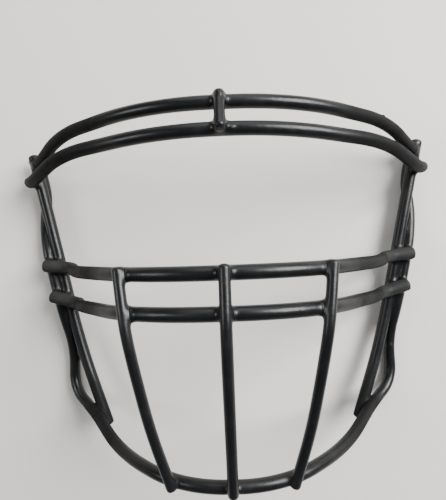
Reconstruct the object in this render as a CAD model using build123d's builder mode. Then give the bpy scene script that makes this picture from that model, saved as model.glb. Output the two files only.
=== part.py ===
from build123d import *
import math
import os

os.makedirs("parts", exist_ok=True)

# A wire face guard lying on its back, front up: X to its sides, +Y to the brow, +Z to the front.
# Every bar is a length of round steel wire, cut, bent and welded to its neighbours. The welded
# cage is then dipped in soft vinyl, so each wire carries a sleeve of the same coat.

# Steel wire: three stock sizes, and the coat over them
main_steel_d = 5.56
chin_steel_d = 5.26
thin_steel_d = 3.97
coat = 0.6
weld_gap = 0.1
pair_gap = 0.7
butt_gap = 0.4
end_chamfer = 0.7
end_round_share = 0.62
bend_share = 0.46

# The cage between the centre lines of its bars
half_width = 118.0
cage_height = 178.0
cage_depth = 101.0

# Side rod: top end, upper bend and lower bend, out from the middle and up from the chin
rod_top_shares = (1.0, 0.960)
rod_bend_shares = (0.914, 0.692)
rod_low_shares = (0.791, 0.287)
rod_low_height = 8.3
rod_overrun = 8.5
rod_foot_share = 0.704

# Corner places of the bars on the right side, from the middle outwards: shares of the half
# width, of the height from the chin up, and of the depth from the back up
upper_brow_shares = ((0.295, 1.0, 0.772), (0.758, 0.984, 0.405))
lower_brow_shares = ((0.235, 0.923, 0.824), (0.705, 0.902, 0.584), (0.925, 0.848, 0.327))
upper_cross_shares = ((0.303, 0.5635, 0.983), (0.688, 0.562, 0.484))
lower_cross_shares = ((0.322, 0.4685, 1.006), (0.688, 0.4555, 0.420))
chin_shares = ((0.200, -0.004, 0.793), (0.506, 0.017, 0.505), (0.714, 0.069, 0.150))
centre_bar_shares = ((0.0, 0.335, 1.030), (0.0, 0.155, 0.925))
side_bar_shares = ((0.351, 0.327, 0.907), (0.311, 0.154, 0.832))

# Where the bars cross the side rod, up from the chin
upper_brow_end_share = 0.922
lower_brow_end_share = 0.873
upper_cross_end_share = 0.572
lower_cross_end_share = 0.457

# Ends of the two cross bars over the side rods: how far the flat run reaches to each side of the
# front rod, and how much it leans towards the brow
cross_run_in = 9.0
upper_cross_run_out = 8.7
lower_cross_run_out = 9.6
upper_cross_lean = 6.0
lower_cross_lean = 16.0
lower_brow_overrun = 5.0

# Chin bar behind the jaw and up beside the side rod
jaw_corner_shares = (0.851, 0.128)
jaw_top_shares = (0.841, 0.281)
jaw_top_rise = 0.3
pair_low_share = 0.421
pair_high_share = 0.632
pair_behind_share = 0.818
pair_top_share = 0.927
pair_bulge_share = 1.36

# Face verticals: places out from the middle over the upper and lower cross bars and the chin bar
side_bar_seat_shares = (0.376, 0.357, 0.228)
cross_run_past = 7.0
foot_shortfall = 3.2

# Brow strut: how far its ends stand past the centre lines of the brow bars
strut_top_past = 2.0
strut_low_past = 2.6

# Weld nuggets: short plugs of weld metal from wire to wire
cross_nugget_r = 2.15
butt_nugget_r = 2.6
tack_nugget_r = 1.26
foot_nugget_r = 0.95
foot_nugget_back = 0.65
nugget_height_share = 1.31
pair_tack_share = 0.522
top_tack_share = 0.892

chin_d = chin_steel_d + 2 * coat
main_on_main = main_steel_d + weld_gap
main_on_chin = (main_steel_d + chin_steel_d) / 2 + weld_gap
main_on_thin = (main_steel_d + thin_steel_d) / 2 + weld_gap
chin_on_thin = (chin_steel_d + thin_steel_d) / 2 + weld_gap
rod_pair = (main_steel_d + chin_steel_d) / 2 + pair_gap
FRONT = Vector(0, 0, 1)


def spot(shares):
    """A place from its shares of the half width, the height and the depth."""
    return Vector(shares[0] * half_width, shares[1] * cage_height, shares[2] * cage_depth)


def flipped(place):
    """The same place on the left side."""
    return Vector(-place.X, place.Y, place.Z)


def both_sides(half):
    """The corners of a bar that crosses the middle, from its right half."""
    return [flipped(place) for place in reversed(half)] + list(half)


def bend_radii(corners):
    """One bend radius for each inner corner, as large as the two runs beside it allow."""
    radii = []
    for before, corner, after in zip(corners, corners[1:], corners[2:]):
        turn = (corner - before).get_angle(after - corner)
        run = min((corner - before).length, (after - corner).length)
        radii.append(bend_share * run / math.tan(math.radians(turn) / 2))
    return radii


def centre_line(corners):
    """The bent centre line of a wire: straight runs joined by tangent arcs."""
    with BuildLine() as line:
        FilletPolyline(*corners, radius=bend_radii(corners))
    return line.wires()[0]


def on_right_half(line, reach):
    """Where a bar's right half comes to a distance from the middle, and its direction there."""
    step = 1 / 100
    high = 1 / 2
    while (line @ high).X < reach:
        high += step
    low = max(1 / 2, high - step)
    for _ in range(30):
        middle = (low + high) / 2
        if (line @ middle).X < reach:
            low = middle
        else:
            high = middle
    return line @ low, line % low


def on_run(start, end, height):
    """The place on a straight run at a height from the chin."""
    return start + (end - start) * ((height - start.Y) / (end.Y - start.Y))


def square_off(along, across):
    """The direction square to two wires that cross, pointing to the front of the cage."""
    side = along.cross(across).normalized()
    return side if side.Z > 0 else -side


def seam(place, side, diameter, gap=weld_gap):
    """Halfway across the small gap from a wire to the one welded to that side, facing it."""
    return Plane(origin=place + side * (diameter + gap) / 2, z_dir=side)


# Side rod: the front one of the pair of wires down each side. It stands off the floor behind
# it by the chin bar's wire, which passes behind its top.
top_rise = chin_d / 2 + rod_pair
rod_top = Vector(rod_top_shares[0] * half_width, rod_top_shares[1] * cage_height, top_rise)
rod_bend = Vector(rod_bend_shares[0] * half_width, rod_bend_shares[1] * cage_height, top_rise)
rod_low = Vector(rod_low_shares[0] * half_width, rod_low_shares[1] * cage_height, rod_low_height)
rod_down = (rod_low - rod_bend).normalized()
rod_out = rod_down.cross(FRONT).normalized()
rod_out = rod_out if rod_out.X > 0 else -rod_out
rod_front = square_off(rod_down, rod_out)

# The rear wire of the pair: beside the rod lower down, their backs level, and behind it at the top
beside = rod_out * math.sqrt(rod_pair**2 - ((main_steel_d - chin_steel_d) / 2) ** 2)
beside += rod_front * ((main_steel_d - chin_steel_d) / 2)
behind = -rod_front * rod_pair
bulge = (beside.normalized() + behind.normalized()).normalized() * rod_pair * pair_bulge_share


# Cross bars: two bends each side, then a flat run out over both wires of the side pair
def cross_bar(shares, end_share, lean, run_out):
    """The right half of a cross bar and its welds to the two wires of the side pair."""
    place = on_run(rod_bend, rod_low, end_share * cage_height)
    rest = place + rod_front * main_on_main
    tilt = math.radians(lean) + math.atan2(-rod_down.X, -rod_down.Y)
    run = rod_out * math.cos(tilt) - rod_down * math.sin(tilt)
    corners = [spot(share) for share in shares]
    corners += [rest - run * cross_run_in, rest + run * run_out]
    rear = place + run * (beside.dot(rod_out) / run.dot(rod_out))
    rear += rod_front * beside.dot(rod_front)
    welds = [seam(place, rod_front, main_steel_d), seam(rear, rod_front, chin_steel_d)]
    return corners, welds


upper_cross_half, upper_cross_welds = cross_bar(
    upper_cross_shares, upper_cross_end_share, upper_cross_lean, upper_cross_run_out
)
lower_cross_half, lower_cross_welds = cross_bar(
    lower_cross_shares, lower_cross_end_share, lower_cross_lean, lower_cross_run_out
)

# Lower brow bar: it runs back outside the side rod and ends just past it
lower_brow_half = [spot(share) for share in lower_brow_shares]
lower_brow_rest = on_run(rod_top, rod_bend, lower_brow_end_share * cage_height)
lower_brow_seat = lower_brow_rest + FRONT * main_on_main
for _ in range(6):
    lower_brow_run = (lower_brow_seat - lower_brow_half[-1]).normalized()
    lower_brow_side = (rod_bend - rod_top).cross(lower_brow_run).normalized()
    if lower_brow_side.X < 0:
        lower_brow_side = -lower_brow_side
    lower_brow_seat = lower_brow_rest + lower_brow_side * main_on_main
lower_brow_half.append(lower_brow_seat + lower_brow_run * lower_brow_overrun)

# Upper brow bar: its end butts against the side rod's top
upper_brow_half = [spot(share) for share in upper_brow_shares]
upper_brow_rest = on_run(rod_top, rod_bend, upper_brow_end_share * cage_height)
rod_top_run = (rod_bend - rod_top).normalized()
butt_run = upper_brow_half[-1] - upper_brow_rest
butt_run = (butt_run - rod_top_run * butt_run.dot(rod_top_run)).normalized()
upper_brow_half.append(upper_brow_rest + butt_run * (main_steel_d / 2 + butt_gap))


# Chin bar: round the chin, back along the jaw, then up beside the side rod and in behind its top
def on_rod(height_share):
    """The place on the side rod's centre line at a height from the chin."""
    height = height_share * cage_height
    if height < rod_bend.Y:
        return on_run(rod_bend, rod_low, height)
    return on_run(rod_top, rod_bend, height)


chin_half = [spot(share) for share in chin_shares]
chin_half.append(
    Vector(jaw_corner_shares[0] * half_width, jaw_corner_shares[1] * cage_height, chin_d / 2)
)
chin_half.append(
    Vector(
        jaw_top_shares[0] * half_width,
        jaw_top_shares[1] * cage_height,
        chin_d / 2 + jaw_top_rise,
    )
)
chin_half.append(on_rod(pair_low_share) + beside)
chin_half.append(on_rod(pair_high_share) + beside)
chin_half.append(on_rod((pair_high_share + pair_behind_share) / 2) + bulge)
chin_half.append(on_rod(pair_behind_share) + behind)
chin_half.append(on_rod(pair_top_share) + behind)

upper_cross_line = centre_line(both_sides(upper_cross_half))
lower_cross_line = centre_line(both_sides(lower_cross_half))
upper_brow_line = centre_line(both_sides(upper_brow_half))
lower_brow_line = centre_line(both_sides(lower_brow_half))
chin_line = centre_line(both_sides(chin_half))

# The side rod's foot comes to rest inside the chin bar
foot_place, foot_along = on_right_half(chin_line, rod_foot_share * half_width)
foot_side = square_off(foot_along, foot_place - rod_low)
foot_seat = foot_place - foot_side * main_on_chin
rod_corners = [
    rod_top,
    rod_bend,
    rod_low,
    foot_seat + (foot_seat - rod_low).normalized() * rod_overrun,
]


# Face verticals: thin wires over the front of both cross bars and of the chin bar
def vertical(shares, seat_shares):
    """Corners of a vertical and its three welds to the bars under it."""
    bends = [spot(share) for share in shares]
    reaches = [share * half_width for share in seat_shares]
    upper, upper_along = on_right_half(upper_cross_line, reaches[0])
    lower, lower_along = on_right_half(lower_cross_line, reaches[1])
    run = lower - upper
    upper_side = square_off(upper_along, run)
    lower_side = square_off(lower_along, run)
    upper_seat = upper + upper_side * main_on_thin
    lower_seat = lower + lower_side * main_on_thin
    run = (lower_seat - upper_seat).normalized()
    foot, foot_way = on_right_half(chin_line, reaches[2])
    foot_side = square_off(foot_way, foot - bends[-1])
    foot_top = foot + foot_side * chin_on_thin
    foot_run = (foot_top - bends[-1]).normalized()
    corners = [upper_seat - run * main_steel_d / 2, lower_seat + run * cross_run_past]
    corners += bends + [foot_top + foot_run * (chin_d / 2 - foot_shortfall)]
    welds = [
        (seam(upper, upper_side, main_steel_d), cross_nugget_r),
        (seam(lower, lower_side, main_steel_d), cross_nugget_r),
        (seam(foot - foot_run * foot_nugget_back, foot_side, chin_steel_d), foot_nugget_r),
    ]
    return corners, welds


centre_corners, centre_welds = vertical(centre_bar_shares, (0, 0, 0))
side_corners, side_welds = vertical(side_bar_shares, side_bar_seat_shares)

# Brow strut: a short thin wire over the front of both brow bars
upper_mid = upper_brow_line @ (1 / 2)
lower_mid = lower_brow_line @ (1 / 2)
strut_run = (lower_mid - upper_mid).normalized()
strut_side = square_off(strut_run, Vector(1, 0, 0))
strut_lift = strut_side * main_on_thin
strut_corners = [
    upper_mid + strut_lift - strut_run * strut_top_past,
    lower_mid + strut_lift + strut_run * strut_low_past,
]

bars = {
    "right_side_rod": (rod_corners, main_steel_d),
    "upper_cross_bar": (both_sides(upper_cross_half), main_steel_d),
    "lower_cross_bar": (both_sides(lower_cross_half), main_steel_d),
    "upper_brow_bar": (both_sides(upper_brow_half), main_steel_d),
    "lower_brow_bar": (both_sides(lower_brow_half), main_steel_d),
    "chin_bar": (both_sides(chin_half), chin_steel_d),
    "centre_vertical": (centre_corners, thin_steel_d),
    "right_vertical": (side_corners, thin_steel_d),
    "brow_strut": (strut_corners, thin_steel_d),
}


# Weld nuggets between two wires, in four groups
def pair_of(place):
    """A weld place on the right side and its twin on the left."""
    return [place, Plane(origin=flipped(place.origin), z_dir=flipped(place.z_dir))]


lower_brow_end = seam(lower_brow_rest, lower_brow_side, main_steel_d)
upper_brow_end = seam(upper_brow_rest, butt_run, main_steel_d, butt_gap)
brow_nuggets = [
    (seam(upper_mid, strut_side, main_steel_d), cross_nugget_r),
    (seam(lower_mid, strut_side, main_steel_d), cross_nugget_r),
]
brow_nuggets += [(place, butt_nugget_r) for place in pair_of(upper_brow_end)]
brow_nuggets += [(place, cross_nugget_r) for place in pair_of(lower_brow_end)]

cross_nuggets = []
for weld in upper_cross_welds + lower_cross_welds:
    cross_nuggets += [(place, cross_nugget_r) for place in pair_of(weld)]

face_nuggets = list(centre_welds)
for weld, radius in side_welds:
    face_nuggets += [(place, radius) for place in pair_of(weld)]

foot_joint = seam(foot_place, -foot_side, chin_steel_d)
side_nuggets = [(place, cross_nugget_r) for place in pair_of(foot_joint)]
for share, side in ((pair_tack_share, beside), (top_tack_share, behind)):
    tack = seam(on_rod(share), side.normalized(), main_steel_d, pair_gap)
    side_nuggets += [(place, tack_nugget_r) for place in pair_of(tack)]

nugget_groups = {
    "brow_welds": brow_nuggets,
    "cross_bar_welds": cross_nuggets,
    "face_bar_welds": face_nuggets,
    "side_rod_welds": side_nuggets,
}


def wire(corners, diameter, reach, radii):
    """A bent round wire along the corners, reaching past both ends."""
    first = corners[0] + (corners[0] - corners[1]).normalized() * reach
    last = corners[-1] + (corners[-1] - corners[-2]).normalized() * reach
    route = [first] + corners[1:-1] + [last]
    with BuildPart() as bent:
        with BuildLine() as line:
            if radii:
                FilletPolyline(*route, radius=radii)
            else:
                Line(first, last)
        with BuildSketch(Plane(origin=line.line @ 0, z_dir=line.line % 0)):
            Circle(diameter / 2)
        sweep()
    return bent.part


def meets(one, other):
    """Whether the boxes around two solids reach each other."""
    first = one.bounding_box()
    second = other.bounding_box()
    apart = [second.min.X - first.max.X, first.min.X - second.max.X]
    apart += [second.min.Y - first.max.Y, first.min.Y - second.max.Y]
    apart += [second.min.Z - first.max.Z, first.min.Z - second.max.Z]
    return max(apart) < 0


def twin_name(name):
    """The name of a right piece's twin on the left."""
    return name.replace("right", "left")


def with_twin(pieces, name):
    """A piece, and its twin on the left when it has one."""
    return [pieces[each] for each in sorted({name, twin_name(name)})]


def save(solid, name):
    """Write one named piece, moved so that the origin lies under the middle of the cage."""
    moved = solid.moved(centring)
    moved.label = name
    export_step(moved, "parts/" + name + ".step")


cores = {}
skins = {}
for name, (corners, steel_d) in bars.items():
    radii = bend_radii(corners)
    skin_r = steel_d / 2 + coat
    with BuildPart() as core:
        add(wire(corners, steel_d, 0, radii))
        chamfer(core.faces().filter_by(GeomType.PLANE).edges(), end_chamfer)
    cores[name] = core.part
    with BuildPart() as skin:
        add(wire(corners, 2 * skin_r, coat, radii))
        fillet(skin.faces().filter_by(GeomType.PLANE).edges(), skin_r * end_round_share)
    skins[name] = skin.part

# The left side rod and the left vertical are the right ones turned over
for name in ("right_side_rod", "right_vertical"):
    for pieces in (cores, skins):
        with BuildPart() as twin:
            mirror(pieces[name], about=Plane.YZ)
        pieces[twin_name(name)] = twin.part

highest = max(skin.bounding_box().max.Y for skin in skins.values())
lowest = min(skin.bounding_box().min.Y for skin in skins.values())
centring = Pos(0, -(highest + lowest) / 2, 0)
for name, core_solid in cores.items():
    save(core_solid, name + "_wire")

plugs = []
for group_name, group in nugget_groups.items():
    nuggets = []
    for place, radius in group:
        with BuildPart() as plug:
            with Locations(place):
                Cylinder(radius, radius * nugget_height_share)
        plugs.append(plug.part)
        with BuildPart() as nugget:
            add(plug.part)
            for core_solid in cores.values():
                if meets(plug.part, core_solid):
                    add(core_solid, mode=Mode.SUBTRACT)
        nuggets.append(nugget.part)
    with BuildPart() as weld:
        add(nuggets)
    save(weld.part, group_name)

# Sleeves of the coat: where two wires cross, the coat of the crossing goes to the earlier bar
names = list(bars)
for number, name in enumerate(names):
    cutters = []
    for earlier in names[:number]:
        cutters += with_twin(skins, earlier)
    for later in names[number:]:
        cutters += with_twin(cores, later)
    cutters += plugs
    with BuildPart() as sleeve:
        add(skins[name])
        for cutter in cutters:
            if meets(skins[name], cutter):
                add(cutter, mode=Mode.SUBTRACT)
    save(sleeve.part, name + "_coat")
    if twin_name(name) != name:
        with BuildPart() as left_sleeve:
            mirror(sleeve.part, about=Plane.YZ)
        save(left_sleeve.part, twin_name(name) + "_coat")
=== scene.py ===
import math

import bpy
import numpy as np
from mathutils import Matrix, Vector


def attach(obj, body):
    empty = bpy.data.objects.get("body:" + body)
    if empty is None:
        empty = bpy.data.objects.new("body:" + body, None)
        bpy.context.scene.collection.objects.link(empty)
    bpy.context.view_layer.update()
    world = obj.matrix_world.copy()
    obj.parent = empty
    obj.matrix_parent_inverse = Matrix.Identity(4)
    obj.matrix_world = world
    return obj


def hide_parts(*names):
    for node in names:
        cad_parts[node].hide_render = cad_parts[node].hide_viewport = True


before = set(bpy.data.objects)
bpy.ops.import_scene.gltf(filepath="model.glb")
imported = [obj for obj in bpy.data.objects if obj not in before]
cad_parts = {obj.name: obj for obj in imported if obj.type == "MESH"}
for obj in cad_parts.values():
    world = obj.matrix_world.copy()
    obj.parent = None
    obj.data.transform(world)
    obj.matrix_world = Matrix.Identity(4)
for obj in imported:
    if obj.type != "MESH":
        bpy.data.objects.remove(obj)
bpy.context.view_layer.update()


# Drawn steel wire, the skeleton of the face guard: three stock gauges, bent cold and cut to
# length. It is sealed in the vinyl all over, so only a cut through a bar would show it.
class Signal:
    """A socket of a finish that can be used in sums."""

    def __init__(self, finish, socket):
        self.finish = finish
        self.socket = socket

    def sum_with(self, operation, first, second):
        return self.finish.mix_in("ShaderNodeMath", {"operation": operation}, {0: first, 1: second})

    def __add__(self, other):
        return self.sum_with("ADD", self, other)

    def __radd__(self, other):
        return self.sum_with("ADD", other, self)

    def __mul__(self, other):
        return self.sum_with("MULTIPLY", self, other)

    def __rmul__(self, other):
        return self.sum_with("MULTIPLY", other, self)

    def __abs__(self):
        return self.finish.mix_in("ShaderNodeMath", {"operation": "ABSOLUTE"}, {0: self})


class Finish:
    """The surface of one kind of piece, mixed from nodes."""

    def __init__(self, name):
        self.material = bpy.data.materials.new(name)
        self.material.use_nodes = True
        self.tree = self.material.node_tree
        self.tree.nodes.clear()
        self.place = self.mix_in("ShaderNodeTexCoord", {}, {}, "Object")

    def mix_in(self, kind, settings, sockets, output=0):
        """Add a node with its settings and the values or links of its sockets."""
        node = self.tree.nodes.new(kind)
        for key, value in settings.items():
            if key == "stops":
                ramp = node.color_ramp
                while len(ramp.elements) < len(value):
                    ramp.elements.new(1)
                for element, (position, shade) in zip(ramp.elements, value):
                    element.position = position
                    element.color = (*shade, 1) if isinstance(shade, tuple) else (shade,) * 3 + (1,)
            else:
                setattr(node, key, value)
        for key, value in sockets.items():
            if isinstance(value, Signal):
                self.tree.links.new(value.socket, node.inputs[key])
            else:
                node.inputs[key].default_value = value
        return Signal(self, node.outputs[output])

    def grain(self, size, detail=2, roughness=0.5, stretch=(1, 1, 1)):
        """Cloudy noise from 0 to 1 whose blobs are about size across, in metres."""
        scale = tuple(share / size for share in stretch)
        scaled = self.mix_in("ShaderNodeMapping", {}, {"Vector": self.place, "Scale": scale})
        return self.mix_in(
            "ShaderNodeTexNoise",
            {},
            {"Vector": scaled, "Scale": 1.0, "Detail": detail, "Roughness": roughness},
            "Fac",
        )

    def ramp(self, factor, *stops):
        """A shade or colour for each factor, from stops of a place and a shade."""
        return self.mix_in("ShaderNodeValToRGB", {"stops": stops}, {"Fac": factor}, "Color")

    def blend(self, factor, under, over):
        """The colour under, covered by the colour over as far as the factor says."""
        under = under if isinstance(under, Signal) else (*under, 1)
        over = over if isinstance(over, Signal) else (*over, 1)
        return self.mix_in("ShaderNodeMix", {"data_type": "RGBA"}, {0: factor, 6: under, 7: over}, 2)

    def along(self, axis):
        """The place on the cage along one axis, in metres."""
        return self.mix_in("ShaderNodeSeparateXYZ", {}, {"Vector": self.place}, axis)

    def rise(self, value, low, high):
        """From 0 where the value is low to 1 where it is high, smoothly."""
        return self.mix_in(
            "ShaderNodeMapRange",
            {"interpolation_type": "SMOOTHSTEP"},
            {"Value": value, "From Min": low, "From Max": high},
        )

    def relief(self, height, depth):
        """Small bumps of a depth in metres."""
        return self.mix_in(
            "ShaderNodeBump", {}, {"Height": height, "Distance": depth, "Strength": 1.0}, "Normal"
        )

    def shader(self, **sockets):
        """The look of one material, its sockets named with underscores for spaces."""
        named = {name.replace("_", " "): value for name, value in sockets.items()}
        return self.mix_in("ShaderNodeBsdfPrincipled", {}, named)

    def shown_as(self, shader):
        """Let the finish look as the shader does."""
        end = self.tree.nodes.new("ShaderNodeOutputMaterial")
        self.tree.links.new(shader.socket, end.inputs["Surface"])

    def put_on(self, ending):
        """Give the finish to every node of the frame whose name has this ending."""
        for name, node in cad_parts.items():
            if name.endswith(ending):
                node.data.materials.clear()
                node.data.materials.append(self.material)


MM = 0.001
main_wire = 5.56
chin_wire = 5.26
thin_wire = 3.97
die_line_width = 0.5
die_line_depth = 0.02
mill_film_size = 6.0
dark_steel = (0.34, 0.34, 0.35)
bright_steel = (0.56, 0.56, 0.57)
drawn_steel = Finish("drawn_steel")
die_lines = drawn_steel.grain(die_line_width * MM, detail=3, stretch=(1, 0.06, 1))
mill_film = drawn_steel.grain(mill_film_size * MM, detail=3)
drawn_steel.shown_as(
    drawn_steel.shader(
        Base_Color=drawn_steel.blend(mill_film, dark_steel, bright_steel),
        Metallic=1.0,
        Roughness=0.26 + die_lines * 0.18,
        Normal=drawn_steel.relief(die_lines, die_line_depth * MM),
    )
)
drawn_steel.put_on("_wire")

# Side rods, the front wires of the pair down each side: main wire, bent twice. They stand off the
# floor by the chin bar's wire, which runs up beside each rod and passes behind its top.
half_width = 118.0
cage_height = 178.0
cage_depth = 101.0
chin_level = -89.3421
coat = 0.6
pair_gap = 0.7
rod_low_rise = 8.3
bend_share = 0.46
arc_step = 1.2


def coated(wire):
    """The radius of a wire in its coat."""
    return wire / 2 + coat


def above_floor(side, up, rise):
    """A place at a height above the floor, from its shares of the half width and the height."""
    return np.array([side * half_width, chin_level + up * cage_height, rise])


def spot(side, up, out):
    """A place from its shares of the half width, of the height from the chin and of the depth."""
    return above_floor(side, up, out * cage_depth)


def on_run(start, end, up):
    """The place on a straight run at a share of the height from the chin."""
    height = chin_level + up * cage_height
    return start + (end - start) * (height - start[1]) / (end[1] - start[1])


def unit(way):
    """A direction, from a way of any length."""
    return way / np.linalg.norm(way)


def square_off(along, over):
    """The direction square to two wires that cross, pointing to the front of the cage."""
    side = unit(np.cross(along, over))
    return side if side[2] > 0 else -side


def other_side(corners):
    """The same corners on the left of the cage."""
    return [corner * (-1, 1, 1) for corner in corners]


def both_sides(half):
    """All the corners of a bar that crosses the middle, from those of its right half."""
    return other_side(half)[::-1] + half


def bent(corners, spacing=arc_step):
    """The line of a wire through its corners: straight runs joined by tangent bends."""
    line = [corners[0]]
    for before, corner, after in zip(corners, corners[1:], corners[2:]):
        shorter = min(np.linalg.norm(before - corner), np.linalg.norm(after - corner))
        run = bend_share * shorter
        back = unit(before - corner)
        ahead = unit(after - corner)
        half = math.acos(max(-1, min(1, -back @ ahead))) / 2
        radius = run / math.tan(half)
        inward = unit(back + ahead)
        middle = corner + inward * radius / math.cos(half)
        first = corner + back * run - middle
        side = unit(first - inward * (first @ inward))
        count = max(3, int(radius * 2 * half / spacing))
        for step in range(count + 1):
            angle = half - 2 * half * step / count
            line.append(middle - inward * radius * math.cos(angle) + side * radius * math.sin(angle))
    line.append(corners[-1])
    return np.array(line)


rod_pair = (main_wire + chin_wire) / 2 + pair_gap
rod_rise = coated(chin_wire) + rod_pair
rod_top = above_floor(1.0, 0.960, rod_rise)
rod_bend = above_floor(0.914, 0.692, rod_rise)
rod_low = above_floor(0.791, 0.287, rod_low_rise)
rod_down = unit(rod_low - rod_bend)
rod_out = unit(np.cross((0, 0, 1), rod_down))
rod_front = square_off(rod_down, rod_out)

# Cross bars, the two arcs under the eye opening: main wire with two bends each side, then a flat
# run out over both wires of the side pair. The lower one's flat ends lean more towards the brow.
weld_gap = 0.1
flat_in = 9.0


def apart(first, second):
    """How far apart the middles of two wires lie where they are welded together."""
    return (first + second) / 2 + weld_gap


def cross_bar(bends, end_up, lean, flat_out):
    """The corners of a cross bar, whose flat ends lean towards the brow by some degrees."""
    rest = on_run(rod_bend, rod_low, end_up) + rod_front * apart(main_wire, main_wire)
    tilt = math.radians(lean) + math.atan2(-rod_down[0], -rod_down[1])
    run = rod_out * math.cos(tilt) - rod_down * math.sin(tilt)
    return both_sides([*bends, rest - run * flat_in, rest + run * flat_out])


upper_cross_bar = cross_bar(
    [spot(0.303, 0.5635, 0.983), spot(0.688, 0.562, 0.484)], end_up=0.572, lean=6, flat_out=8.7
)
lower_cross_bar = cross_bar(
    [spot(0.322, 0.4685, 1.006), spot(0.688, 0.4555, 0.420)], end_up=0.457, lean=16, flat_out=9.6
)

# Brow bars, the two arcs over the eyes, of main wire. The lower one runs back outside the side
# rods and ends just past them; the upper one is cut to butt against the rods' tops.
lower_meeting = 0.873
upper_meeting = 0.922
lower_brow_overrun = 5.0
butt_gap = 0.4
fitting_rounds = 6
rod_top_run = unit(rod_bend - rod_top)
lower_brow_half = [spot(0.235, 0.923, 0.824), spot(0.705, 0.902, 0.584), spot(0.925, 0.848, 0.327)]
lower_rest = on_run(rod_top, rod_bend, lower_meeting)
lower_seat = lower_rest + (0, 0, apart(main_wire, main_wire))
for _ in range(fitting_rounds):
    lower_run = unit(lower_seat - lower_brow_half[-1])
    outwards = unit(np.cross(rod_top_run, lower_run))
    outwards *= np.sign(outwards[0])
    lower_seat = lower_rest + outwards * apart(main_wire, main_wire)
lower_brow_bar = both_sides([*lower_brow_half, lower_seat + lower_run * lower_brow_overrun])

upper_brow_half = [spot(0.295, 1.0, 0.772), spot(0.758, 0.984, 0.405)]
upper_rest = on_run(rod_top, rod_bend, upper_meeting)
butt_run = upper_brow_half[-1] - upper_rest
butt_run = unit(butt_run - rod_top_run * (butt_run @ rod_top_run))
butt_end = upper_rest + butt_run * (main_wire / 2 + butt_gap)
upper_brow_bar = both_sides([*upper_brow_half, butt_end])

# Chin bar, one long wire of its own gauge: round the chin, back along the jaw, up beside each
# side rod, backs level, and in behind its top. The side rods' feet are welded inside it.
jaw_top_rise = 0.3
pair_low = 0.421
pair_high = 0.632
pair_behind = 0.818
pair_top = 0.927
pair_bulge = 1.36
rod_foot_reach = 0.704
rod_overrun = 8.5
fine_step = 0.1


def on_rod(up):
    """The place on the side rod at a share of the height from the chin."""
    place = on_run(rod_bend, rod_low, up)
    return place if place[1] < rod_bend[1] else on_run(rod_top, rod_bend, up)


def reached(bar, side):
    """Where a bar first comes to a share of the half width, and its direction there."""
    line = bent(bar, fine_step)
    reach = side * half_width
    step = np.argmax(line[:, 0] > reach)
    start, end = line[step - 1], line[step]
    return start + (end - start) * (reach - start[0]) / (end[0] - start[0]), unit(end - start)


back_level = (main_wire - chin_wire) / 2
beside = rod_out * math.sqrt(rod_pair**2 - back_level**2) + rod_front * back_level
behind = -rod_front * rod_pair
bulge = unit(unit(beside) + unit(behind)) * rod_pair * pair_bulge
chin_bar = both_sides(
    [
        spot(0.200, -0.004, 0.793),
        spot(0.506, 0.017, 0.505),
        spot(0.714, 0.069, 0.150),
        above_floor(0.851, 0.128, coated(chin_wire)),
        above_floor(0.841, 0.281, coated(chin_wire) + jaw_top_rise),
        on_rod(pair_low) + beside,
        on_rod(pair_high) + beside,
        on_rod((pair_high + pair_behind) / 2) + bulge,
        on_rod(pair_behind) + behind,
        on_rod(pair_top) + behind,
    ]
)

foot_place, foot_along = reached(chin_bar, rod_foot_reach)
foot_side = square_off(foot_along, foot_place - rod_low)
foot_seat = foot_place - foot_side * apart(main_wire, chin_wire)
side_rod = [rod_top, rod_bend, rod_low, foot_seat + unit(foot_seat - rod_low) * rod_overrun]

# Face verticals, three lengths of thin wire welded over the front of both cross bars and of the
# chin bar. They are straight over the cross bars and curve in to the chin below them.
straight_past = 7.0
foot_shortfall = 3.2


def vertical(upper_side, lower_side, foot_side, bends):
    """The corners of a vertical, from where it crosses the cross bars and the chin bar."""
    upper, upper_along = reached(upper_cross_bar, upper_side)
    lower, lower_along = reached(lower_cross_bar, lower_side)
    upper_seat = upper + square_off(upper_along, lower - upper) * apart(main_wire, thin_wire)
    lower_seat = lower + square_off(lower_along, lower - upper) * apart(main_wire, thin_wire)
    run = unit(lower_seat - upper_seat)
    foot, foot_along = reached(chin_bar, foot_side)
    foot_top = foot + square_off(foot_along, foot - bends[-1]) * apart(chin_wire, thin_wire)
    foot_run = unit(foot_top - bends[-1])
    foot_end = foot_top + foot_run * (coated(chin_wire) - foot_shortfall)
    return [upper_seat - run * main_wire / 2, lower_seat + run * straight_past, *bends, foot_end]


centre_vertical = vertical(0, 0, 0, [spot(0, 0.335, 1.030), spot(0, 0.155, 0.925)])
side_vertical = vertical(
    0.376, 0.357, 0.228, [spot(0.351, 0.327, 0.907), spot(0.311, 0.154, 0.832)]
)

# Brow strut, a short upright of thin wire over both brow bars in the middle. It is welded to the
# front of both and stands a little past each.
strut_top_past = 2.0
strut_low_past = 2.6
upper_middle, _ = reached(upper_brow_bar, 0)
lower_middle, _ = reached(lower_brow_bar, 0)
strut_run = unit(lower_middle - upper_middle)
strut_lift = square_off(strut_run, (1, 0, 0)) * apart(main_wire, thin_wire)
brow_strut = [
    upper_middle + strut_lift - strut_run * strut_top_past,
    lower_middle + strut_lift + strut_run * strut_low_past,
]

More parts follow.
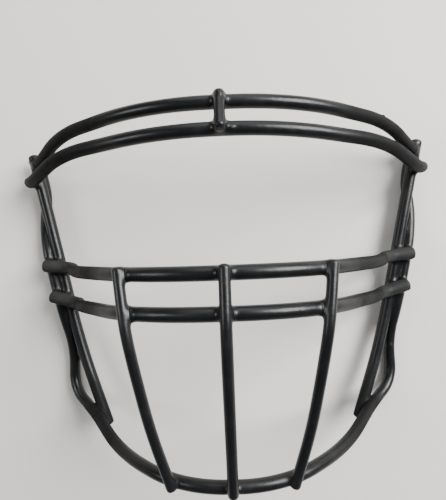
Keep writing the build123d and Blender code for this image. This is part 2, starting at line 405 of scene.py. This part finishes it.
# Welds, short plugs of fused steel that join the wires at every crossing. They lie inside the
# vinyl as well, darker and rougher than the wire and blued by the heat.
scale_patch_size = 1.6
ripple_size = 0.6
ripple_depth = 0.08
heat_blue = (0.16, 0.15, 0.17)
heat_brown = (0.3, 0.26, 0.22)
weld_grey = (0.42, 0.41, 0.4)
weld_bead = Finish("weld_bead")
scale_patches = weld_bead.grain(scale_patch_size * MM, detail=4)
ripples = weld_bead.grain(ripple_size * MM, detail=2)
weld_bead.shown_as(
    weld_bead.shader(
        Base_Color=weld_bead.ramp(
            scale_patches, (0.3, heat_blue), (0.5, heat_brown), (0.75, weld_grey)
        ),
        Metallic=0.9,
        Roughness=0.42 + ripples * 0.25,
        Normal=weld_bead.relief(ripples, ripple_depth * MM),
    )
)
weld_bead.put_on("_welds")

# Black vinyl, the skin of every bar. The welded cage is heated and dipped in plastisol, which
# cures to a satin coat, faintly orange-peeled. Use has left specks and scuffs on it, and the cross
# bars' ends are rubbed chalky. The runs outside the side verticals carry painted shade: their
# reflection is taken out so they stay dark, standing in for the darker room they mirror.
fresh_black = (0.005, 0.0055, 0.0062)
# Scuffed black, which is also the base colour of the painted shade on the outer runs.
scuffed_and_shade_black = (0.012, 0.012, 0.0122)
chalk_grey = (0.045, 0.045, 0.043)
peel_size = 1.6
wave_size = 9.0
dust_size = 0.9
scuff_size = 14.0
peel_depth = 0.06
# Painted shade: the outer runs between these distances off the middle, in millimetres, lose their
# reflection and stay dark.
outer_runs = (48, 70)
cross_bar_ends = (86, 94)
over_side_wires = (13.0, 14.8)
below_brow_bars = (32, 26)
black_vinyl = Finish("black_vinyl")


def vinyl_rise(place, limits):
    """From 0 at the first limit to 1 at the second one, with the limits in millimetres."""
    start, end = limits
    return black_vinyl.rise(place, start * MM, end * MM)


orange_peel = black_vinyl.grain(peel_size * MM, detail=2)
slow_waves = black_vinyl.grain(wave_size * MM, detail=2)
dust = black_vinyl.grain(dust_size * MM, detail=6, roughness=0.75)
scuffs = black_vinyl.grain(scuff_size * MM, detail=5, roughness=0.65)
specks = black_vinyl.ramp(dust, (0.0, 0.0), (0.6, 0.0), (0.78, 1.0))
worn = black_vinyl.ramp(scuffs, (0.0, 0.0), (0.48, 0.0), (0.7, 1.0))
off_middle = abs(black_vinyl.along("X"))
up_cage = black_vinyl.along("Y")
out_of_cage = black_vinyl.along("Z")
above_side_wires = vinyl_rise(out_of_cage, over_side_wires)
on_cross_bar_end = (
    vinyl_rise(off_middle, cross_bar_ends) * above_side_wires * vinyl_rise(up_cage, below_brow_bars)
)
rubbed = on_cross_bar_end * (0.75 + worn * 0.25)
# Painted shade mask: the outer runs above the side wires, where the reflection is taken out.
outer_run_painted_shade = vinyl_rise(off_middle, outer_runs) * above_side_wires * (0.8 + worn * 0.2)
peel = black_vinyl.relief(orange_peel + slow_waves * 2.0, peel_depth * MM)
satin = black_vinyl.shader(
    Base_Color=black_vinyl.blend(
        specks * 0.5, black_vinyl.blend(worn * 0.6, fresh_black, scuffed_and_shade_black), chalk_grey
    ),
    Roughness=0.3 + worn * 0.1 + specks * 0.15 + slow_waves * 0.05 + outer_run_painted_shade * 0.2,
    Specular_IOR_Level=0.34,
    Normal=peel,
)
# Matte shader with no reflection: chalk grey is real wear on the rubbed cross bar ends, and elsewhere on
# the outer runs it is painted shade.
chalk_and_painted_shade = black_vinyl.shader(
    Base_Color=black_vinyl.blend(rubbed, scuffed_and_shade_black, chalk_grey),
    Roughness=0.85,
    Specular_IOR_Level=0.0,
    Normal=peel,
)
black_vinyl.shown_as(
    black_vinyl.mix_in("ShaderNodeMixShader", {}, {0: outer_run_painted_shade * 0.85, 1: satin, 2: chalk_and_painted_shade})
)

# The coat on each of the eleven bars. It follows the wire a little unevenly, thicker here and
# there where the vinyl ran and along the cross bars' flat ends, and closes over both cut ends.
end_round_share = 0.62
flat_end_swell = 0.32
bars = {
    "right_side_rod": (side_rod, main_wire),
    "left_side_rod": (other_side(side_rod), main_wire),
    "upper_cross_bar": (upper_cross_bar, main_wire),
    "lower_cross_bar": (lower_cross_bar, main_wire),
    "upper_brow_bar": (upper_brow_bar, main_wire),
    "lower_brow_bar": (lower_brow_bar, main_wire),
    "chin_bar": (chin_bar, chin_wire),
    "centre_vertical": (centre_vertical, thin_wire),
    "right_vertical": (side_vertical, thin_wire),
    "left_vertical": (other_side(side_vertical), thin_wire),
    "brow_strut": (brow_strut, thin_wire),
}
lines = {name: bent(corners) for name, (corners, _) in bars.items()}
radii = {name: coated(wire) for name, (_, wire) in bars.items()}


def dipping_nodes():
    """Node tree that clothes a wire's line in its coat, closed and rounded over both ends."""
    tree = bpy.data.node_groups.new("dip_in_vinyl", "GeometryNodeTree")
    for name, kind, start in (
        ("Line", "NodeSocketGeometry", None),
        ("Coat radius", "NodeSocketFloat", coated(main_wire) * MM),
        ("End rounding", "NodeSocketFloat", coated(main_wire) * end_round_share * MM),
        ("End swell", "NodeSocketFloat", 0.0),
        ("Swell starts", "NodeSocketFloat", 26 * MM),
        ("Swell is full", "NodeSocketFloat", 16 * MM),
        ("Ring spacing", "NodeSocketFloat", 0.7 * MM),
        ("Sides", "NodeSocketInt", 28),
        ("Run height", "NodeSocketFloat", 0.05 * MM),
        ("Runs per metre", "NodeSocketFloat", 70.0),
        ("Vinyl", "NodeSocketMaterial", None),
    ):
        socket = tree.interface.new_socket(name, in_out="INPUT", socket_type=kind)
        if start is not None:
            socket.default_value = start
    tree.interface.new_socket("Coat", in_out="OUTPUT", socket_type="NodeSocketGeometry")

    def step(kind, links=(), **settings):
        node = tree.nodes.new(kind)
        for key, value in settings.items():
            setattr(node, key, value)
        for key, value in links:
            if isinstance(value, bpy.types.NodeSocket):
                tree.links.new(value, node.inputs[key])
            else:
                node.inputs[key].default_value = value
        return node

    def sums(operation, *values):
        return step("ShaderNodeMath", list(enumerate(values)), operation=operation).outputs[0]

    given = tree.nodes.new("NodeGroupInput").outputs
    rings = step(
        "GeometryNodeResampleCurve",
        [("Curve", given["Line"]), ("Length", given["Ring spacing"])],
        mode="LENGTH",
    )
    along = step("GeometryNodeSplineParameter").outputs["Length"]
    whole = step("GeometryNodeSplineLength").outputs["Length"]
    nearer_end = sums("MINIMUM", along, sums("SUBTRACT", whole, along))
    into_round = sums("MINIMUM", sums("DIVIDE", nearer_end, given["End rounding"]), 1.0)
    short_of = sums("SUBTRACT", 1.0, into_round)
    under_arc = sums("SUBTRACT", 1.0, sums("MULTIPLY", short_of, short_of))
    arc = sums("SUBTRACT", 1.0, sums("SQRT", sums("MAXIMUM", under_arc, 0.0)))
    drawn_in = sums("MULTIPLY", arc, given["End rounding"])
    unevenness = step(
        "ShaderNodeTexNoise",
        [("Scale", given["Runs per metre"]), ("Detail", 2.0)],
        noise_dimensions="3D",
    )
    runs = sums("MULTIPLY", sums("SUBTRACT", unevenness.outputs[0], 0.5), given["Run height"])
    near_end = step(
        "ShaderNodeMapRange",
        [
            ("Value", nearer_end),
            ("From Min", given["Swell starts"]),
            ("From Max", given["Swell is full"]),
        ],
        interpolation_type="SMOOTHSTEP",
    )
    swell = sums("ADD", runs, sums("MULTIPLY", near_end.outputs[0], given["End swell"]))
    radius = sums("ADD", sums("SUBTRACT", given["Coat radius"], drawn_in), swell)
    sized = step("GeometryNodeSetCurveRadius", [("Curve", rings.outputs[0]), ("Radius", radius)])
    section = step("GeometryNodeCurvePrimitiveCircle", [("Resolution", given["Sides"]), ("Radius", 1.0)])
    skin = step(
        "GeometryNodeCurveToMesh",
        [
            ("Curve", sized.outputs[0]),
            ("Profile Curve", section.outputs[0]),
            ("Scale", step("GeometryNodeInputRadius").outputs[0]),
            ("Fill Caps", True),
        ],
    )
    smooth = step("GeometryNodeSetShadeSmooth", [("Geometry", skin.outputs[0])])
    real = step("GeometryNodeRealizeInstances", [("Geometry", smooth.outputs[0])])
    clothed = step("GeometryNodeSetMaterial", [("Geometry", real.outputs[0]), ("Material", given["Vinyl"])])
    out = tree.nodes.new("NodeGroupOutput")
    tree.links.new(clothed.outputs[0], out.inputs["Coat"])
    return tree


dip_in_vinyl = dipping_nodes()


def dipped(name, swell):
    """The closed skin of one bar, as a mesh round its line, with the coat over both ends."""
    line = lines[name].copy()
    line[0] += unit(line[0] - line[1]) * coat
    line[-1] += unit(line[-1] - line[-2]) * coat
    route = bpy.data.curves.new(name + "_line", "CURVE")
    route.dimensions = "3D"
    spline = route.splines.new("POLY")
    spline.points.add(len(line) - 1)
    spline.points.foreach_set("co", np.hstack([line * MM, np.ones((len(line), 1))]).ravel())
    holder = bpy.data.objects.new(name + "_line", route)
    bpy.context.scene.collection.objects.link(holder)
    modifier = holder.modifiers.new("dip", "NODES")
    modifier.node_group = dip_in_vinyl
    settings = {
        "Coat radius": radii[name] * MM,
        "End rounding": radii[name] * end_round_share * MM,
        "End swell": swell * MM,
        "Vinyl": black_vinyl.material,
    }
    for item in dip_in_vinyl.interface.items_tree:
        if item.in_out == "INPUT" and item.name in settings:
            modifier[item.identifier] = settings[item.name]
    bpy.context.view_layer.update()
    graph = bpy.context.evaluated_depsgraph_get()
    mesh = bpy.data.meshes.new_from_object(holder.evaluated_get(graph), depsgraph=graph)
    bpy.data.objects.remove(holder)
    mesh.name = name + "_skin"
    return mesh


skins = {name: dipped(name, flat_end_swell if "cross" in name else 0) for name in bars}

# Webs of vinyl in the corners between bars. The liquid coat gathers at every crossing and in
# the groove between the paired wires, and cures there as a small hollow fillet.
crossing_web = 3.4
foot_web = 2.0
pair_web = 1.5
round_end_share = 0.86
search_margin = 7.0
touching = 0.5
deepest_moved = -1.1
fade_start = -0.9
fade_width = 0.7
web_passes = 5
least_slope = 0.15
longest_move = 0.5
least_distance = 1e-6
side_wires = {"left_side_rod", "right_side_rod", "chin_bar"}
foot_bars = {"left_vertical", "centre_vertical", "right_vertical", "chin_bar"}


def points_of(mesh):
    """The places of a mesh's points, in millimetres."""
    points = np.empty(len(mesh.vertices) * 3)
    mesh.vertices.foreach_get("co", points)
    return points.reshape(-1, 3) / MM


def put_points(mesh, points):
    """Move a mesh's points to places in millimetres."""
    mesh.vertices.foreach_set("co", (points * MM).ravel())
    mesh.update()


def reach_to(points, line, radius):
    """Distance from points to the skin round a line, and the direction away from that line."""
    starts = line[:-1]
    runs = line[1:] - starts
    lengths = (runs**2).sum(1)
    best = np.full(len(points), np.inf)
    foot = np.zeros_like(points)
    for start, run, length in zip(starts, runs, lengths):
        share = np.clip((points - start) @ run / length, 0, 1)
        near = start + share[:, None] * run
        gap = ((points - near) ** 2).sum(1)
        closer = gap < best
        best[closer] = gap[closer]
        foot[closer] = near[closer]
    away = points - foot
    size = np.maximum(np.sqrt(best), least_distance)
    return size - radius, away / size[:, None]


def shortened(name):
    """The line of a bar whose round end caps stop where the coat's rounded end does."""
    line = lines[name].copy()
    past = coat - radii[name] * round_end_share
    line[0] += unit(line[0] - line[1]) * past
    line[-1] += unit(line[-1] - line[-2]) * past
    return line


def web_between(name, other):
    """Size of the web of vinyl in the corners between two bars."""
    if {name, other} <= side_wires:
        return pair_web
    if {name, other} <= foot_bars:
        return foot_web
    return crossing_web


def neighbours_of(name, points):
    """The bars that touch a bar: their lines, radii and webs, and how far its points are off."""
    low, high = points.min(0) - search_margin, points.max(0) + search_margin
    found = []
    for other, line in lines.items():
        if other == name or not ((line > low) & (line < high)).all(1).any():
            continue
        shorter = shortened(other)
        reach, _ = reach_to(points, shorter, radii[other])
        if reach.min() < touching:
            found.append((shorter, radii[other], web_between(name, other), reach))
    return found


for name, mesh in skins.items():
    points = points_of(mesh)
    neighbours = neighbours_of(name, points)
    nearest = np.min([reach for *_, reach in neighbours], axis=0)
    near = np.where((nearest < crossing_web) & (nearest > deepest_moved))[0]
    own_line = shortened(name)
    start, _ = reach_to(points[near], own_line, radii[name])
    moved = points[near]
    for _ in range(web_passes):
        own, lift = reach_to(moved, own_line, radii[name])
        field = own - start
        for line, radius, web, _ in neighbours:
            reach, away = reach_to(moved, line, radius)
            share = np.clip(web - np.abs(field - reach), 0, None) / web
            weight = np.where(field < reach, 1 - share / 2, share / 2)[:, None]
            lift = lift * weight + away * (1 - weight)
            field = np.minimum(field, reach) - share**2 * web / 4
        steep = np.maximum((lift**2).sum(1), least_slope)
        moved = moved - lift * np.clip(field / steep, -longest_move, longest_move)[:, None]
    fade = np.clip((nearest[near] - fade_start) / fade_width, 0, 1)
    fade = fade**2 * (3 - 2 * fade)
    points[near] += (moved - points[near]) * fade[:, None]
    put_points(mesh, points)

# Drips and knots, where the liquid coat ran together before it set: small bumps of vinyl round
# the strut, on the brow and cross bars, and where each rear wire leaves its side rod. Each has
# its bar, its place, its height and its half width.
drips = (
    ("brow_strut", (0.3, 91.2, 84.9), 0.45, 2.6),
    ("brow_strut", (2.6, 88.1, 83.6), 0.6, 1.9),
    ("lower_brow_bar", (5, 74.6, 86.5), 0.5, 2.6),
    ("upper_brow_bar", (86.7, 87.8, 44.8), 0.5, 1.5),
    ("upper_brow_bar", (-63.8, 86.8, 62.4), 0.3, 2.4),
    ("left_side_rod", (-120.8, 77.4, 9.6), 0.7, 1.6),
    ("chin_bar", (-96.8, -46.5, 4), 0.7, 2.6),
    ("chin_bar", (99, -44.1, 6.3), 0.6, 2.6),
    ("lower_cross_bar", (-88.9, -7.3, 18.6), 0.5, 2.0),
    ("upper_cross_bar", (83.5, 13.8, 42), 0.4, 1.8),
)
for name, place, height, width in drips:
    points = points_of(skins[name])
    gap = np.linalg.norm(points - place, axis=1)
    near = gap < width
    _, away = reach_to(points[near], lines[name], radii[name])
    points[near] += away * (height * (1 - (gap[near] / width) ** 2) ** 2)[:, None]
    put_points(skins[name], points)

for name, mesh in skins.items():
    skin = bpy.data.objects.new(name + "_skin", mesh)
    bpy.context.scene.collection.objects.link(skin)
    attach(skin, "root")
    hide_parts(name + "_coat")

# The pale floor under the cage, and soft daylight from above, as in a room by a window. A
# second window and a white wall fill in the shadows.
floor_size = 6
floor_drop = 0.4
floor_colour = (0.79, 0.77, 0.72, 1)
cage_middle = Vector((0, 0, 0.05))
bpy.ops.mesh.primitive_plane_add(size=floor_size, location=(0, 0, -floor_drop * MM))
floor = bpy.context.object
floor.name = "floor"
pale_floor = Finish("pale_floor")
pale_floor.shown_as(pale_floor.shader(Base_Color=floor_colour, Roughness=0.6))
floor.data.materials.append(pale_floor.material)

for name, place, size, power in (
    ("window", (0.92, 0.5, 0.95), 0.8, 48),
    ("far_window", (-0.95, 0.1, 0.8), 0.4, 5),
    ("white_wall", (0.1, 1.5, 0.85), 1.3, 13),
):
    light = bpy.data.lights.new(name, "AREA")
    light.size = size
    light.energy = power
    lamp = bpy.data.objects.new(name, light)
    lamp.location = place
    lamp.rotation_euler = (cage_middle - Vector(place)).to_track_quat("-Z", "Y").to_euler()
    bpy.context.scene.collection.objects.link(lamp)
room = bpy.data.worlds.new("room")
room.use_nodes = True
daylight = room.node_tree.nodes["Background"].inputs
daylight["Color"].default_value = (0.92, 0.95, 1.0, 1)
daylight["Strength"].default_value = 0.16
bpy.context.scene.world = room

# Seen from straight above and a little towards the brow, as a phone held over the floor sees it.
sensor_width = 36
picture_height = 500
focal_pixels = 447.58
eye = (0.00399, 0.02360, 0.2861)
roll, pitch, yaw = 0.03668, 0.01665, -0.02296
camera_data = bpy.data.cameras.new("camera")
camera_data.sensor_width = sensor_width
camera_data.sensor_fit = "AUTO"
camera_data.lens = sensor_width * focal_pixels / picture_height
camera = bpy.data.objects.new("camera", camera_data)
tilt = Matrix.Rotation(roll, 3, "Z") @ Matrix.Rotation(pitch, 3, "X") @ Matrix.Rotation(yaw, 3, "Y")
camera.matrix_world = Matrix.Translation(eye) @ tilt.transposed().to_4x4()
bpy.context.scene.collection.objects.link(camera)
bpy.context.scene.camera = camera
